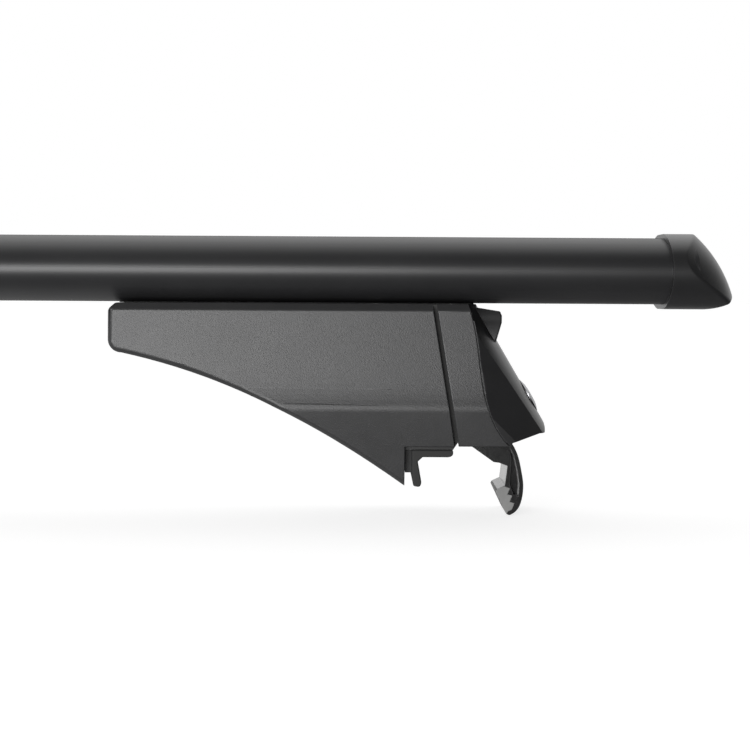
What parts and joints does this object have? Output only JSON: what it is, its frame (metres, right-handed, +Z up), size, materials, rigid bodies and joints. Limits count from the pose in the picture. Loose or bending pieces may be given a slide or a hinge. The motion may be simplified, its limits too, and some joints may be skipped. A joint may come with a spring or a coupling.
{
  "type": "roof rack crossbar",
  "caption": "Black roof rack crossbar: oval aluminium bar with T-slots and end caps on two lockable plastic feet that clamp flush roof rails with a hooked jaw.",
  "frame": {"origin": "centre of the footprint, at the lowest points of the clamp jaws", "axes": "+X along the bar towards the right foot, +Y across the bar, towards the vehicle's rear, +Z up"},
  "size_m": [1.2392, 0.0644, 0.1275],
  "materials": {
    "black_aluminium": "satin black anodised",
    "satin_plastic": "satin black",
    "textured_plastic": "fine-grain matte, dark grey",
    "rubber": "matte black",
    "grey_rubber": "matte grey",
    "coated_steel": "satin black",
    "coated_casting": "gloss black",
    "zinc_steel": "zinc plated",
    "lock_metal": "satin grey"
  },
  "bodies": {
    "bar": {"bar": "black_aluminium", "slot_strip": "rubber", "end_cap_right": "satin_plastic", "end_cap_left": "satin_plastic"},
    "right_foot": {"inner_fairing_right": "textured_plastic", "outer_housing_right": "textured_plastic", "base_bracket_right": "coated_steel", "rail_pad_right": "rubber", "jaw_pin_right": "zinc_steel", "pin_clips_right": "zinc_steel", "bolt_washer_right": "zinc_steel", "shell_screws_right": "zinc_steel", "t_bolts_right": "zinc_steel", "flange_nuts_right": "zinc_steel"},
    "right_cover": {"lock_cover_right": "satin_plastic", "lock_bezel_right": "lock_metal"},
    "right_lock": {"lock_plug_right": "lock_metal", "lock_cam_right": "zinc_steel"},
    "right_jaw": {"jaw_right": "coated_casting", "jaw_pad_right": "grey_rubber"},
    "right_nut": {"barrel_nut_right": "zinc_steel"},
    "right_bolt": {"clamp_bolt_right": "zinc_steel"},
    "left_foot": {"inner_fairing_left": "textured_plastic", "outer_housing_left": "textured_plastic", "base_bracket_left": "coated_steel", "rail_pad_left": "rubber", "jaw_pin_left": "zinc_steel", "pin_clips_left": "zinc_steel", "bolt_washer_left": "zinc_steel", "shell_screws_left": "zinc_steel", "t_bolts_left": "zinc_steel", "flange_nuts_left": "zinc_steel"},
    "left_cover": {"lock_cover_left": "satin_plastic", "lock_bezel_left": "lock_metal"},
    "left_lock": {"lock_plug_left": "lock_metal", "lock_cam_left": "zinc_steel"},
    "left_jaw": {"jaw_left": "coated_casting", "jaw_pad_left": "grey_rubber"},
    "left_nut": {"barrel_nut_left": "zinc_steel"},
    "left_bolt": {"clamp_bolt_left": "zinc_steel"}
  },
  "joints": [
    {"name": "right_foot_slide", "type": "slide", "parent": "bar", "child": "right_foot", "axis": [1, 0, 0], "range_m": [-0.03, 0.03]},
    {"name": "right_cover_slide", "type": "slide", "parent": "right_foot", "child": "right_cover", "axis": [1, 0, 0], "range_m": [0, 0.03]},
    {"name": "right_lock_turn", "type": "hinge", "parent": "right_cover", "child": "right_lock", "pos_m": [0.52728, 0, 0.0532], "axis": [0.8638, 0, 0.5039], "range_deg": [0, 90]},
    {"name": "right_jaw_swing", "type": "hinge", "parent": "right_foot", "child": "right_jaw", "pos_m": [0.5076, 0, 0.0381], "axis": [0, 1, 0], "range_deg": [0, 24]},
    {"name": "right_nut_turn", "type": "hinge", "parent": "right_jaw", "child": "right_nut", "pos_m": [0.49083, 0, 0.04899], "axis": [0, 1, 0], "range_deg": [-24, 0]},
    {"name": "right_bolt_turn", "type": "hinge", "parent": "right_foot", "child": "right_bolt", "pos_m": [0.49361, 0, 0.05209], "axis": [-0.7071, 0, -0.7071], "range_deg": [0, 3000]},
    {"name": "left_foot_slide", "type": "slide", "parent": "bar", "child": "left_foot", "axis": [-1, 0, 0], "range_m": [-0.03, 0.03]},
    {"name": "left_cover_slide", "type": "slide", "parent": "left_foot", "child": "left_cover", "axis": [-1, 0, 0], "range_m": [0, 0.03]},
    {"name": "left_lock_turn", "type": "hinge", "parent": "left_cover", "child": "left_lock", "pos_m": [-0.52728, 0, 0.0532], "axis": [-0.8638, 0, 0.5039], "range_deg": [0, 90]},
    {"name": "left_jaw_swing", "type": "hinge", "parent": "left_foot", "child": "left_jaw", "pos_m": [-0.5076, 0, 0.0381], "axis": [0, -1, 0], "range_deg": [0, 24]},
    {"name": "left_nut_turn", "type": "hinge", "parent": "left_jaw", "child": "left_nut", "pos_m": [-0.49083, 0, 0.04899], "axis": [0, -1, 0], "range_deg": [-24, 0]},
    {"name": "left_bolt_turn", "type": "hinge", "parent": "left_foot", "child": "left_bolt", "pos_m": [-0.49361, 0, 0.05209], "axis": [0.7071, 0, -0.7071], "range_deg": [0, 3000]}
  ],
  "couplings": [
    {"joint": "right_nut_turn", "follows": "right_jaw_swing", "ratio": -1},
    {"joint": "right_bolt_turn", "follows": "right_jaw_swing", "ratio": 124.75},
    {"joint": "left_nut_turn", "follows": "left_jaw_swing", "ratio": -1},
    {"joint": "left_bolt_turn", "follows": "left_jaw_swing", "ratio": 124.75}
  ]
}
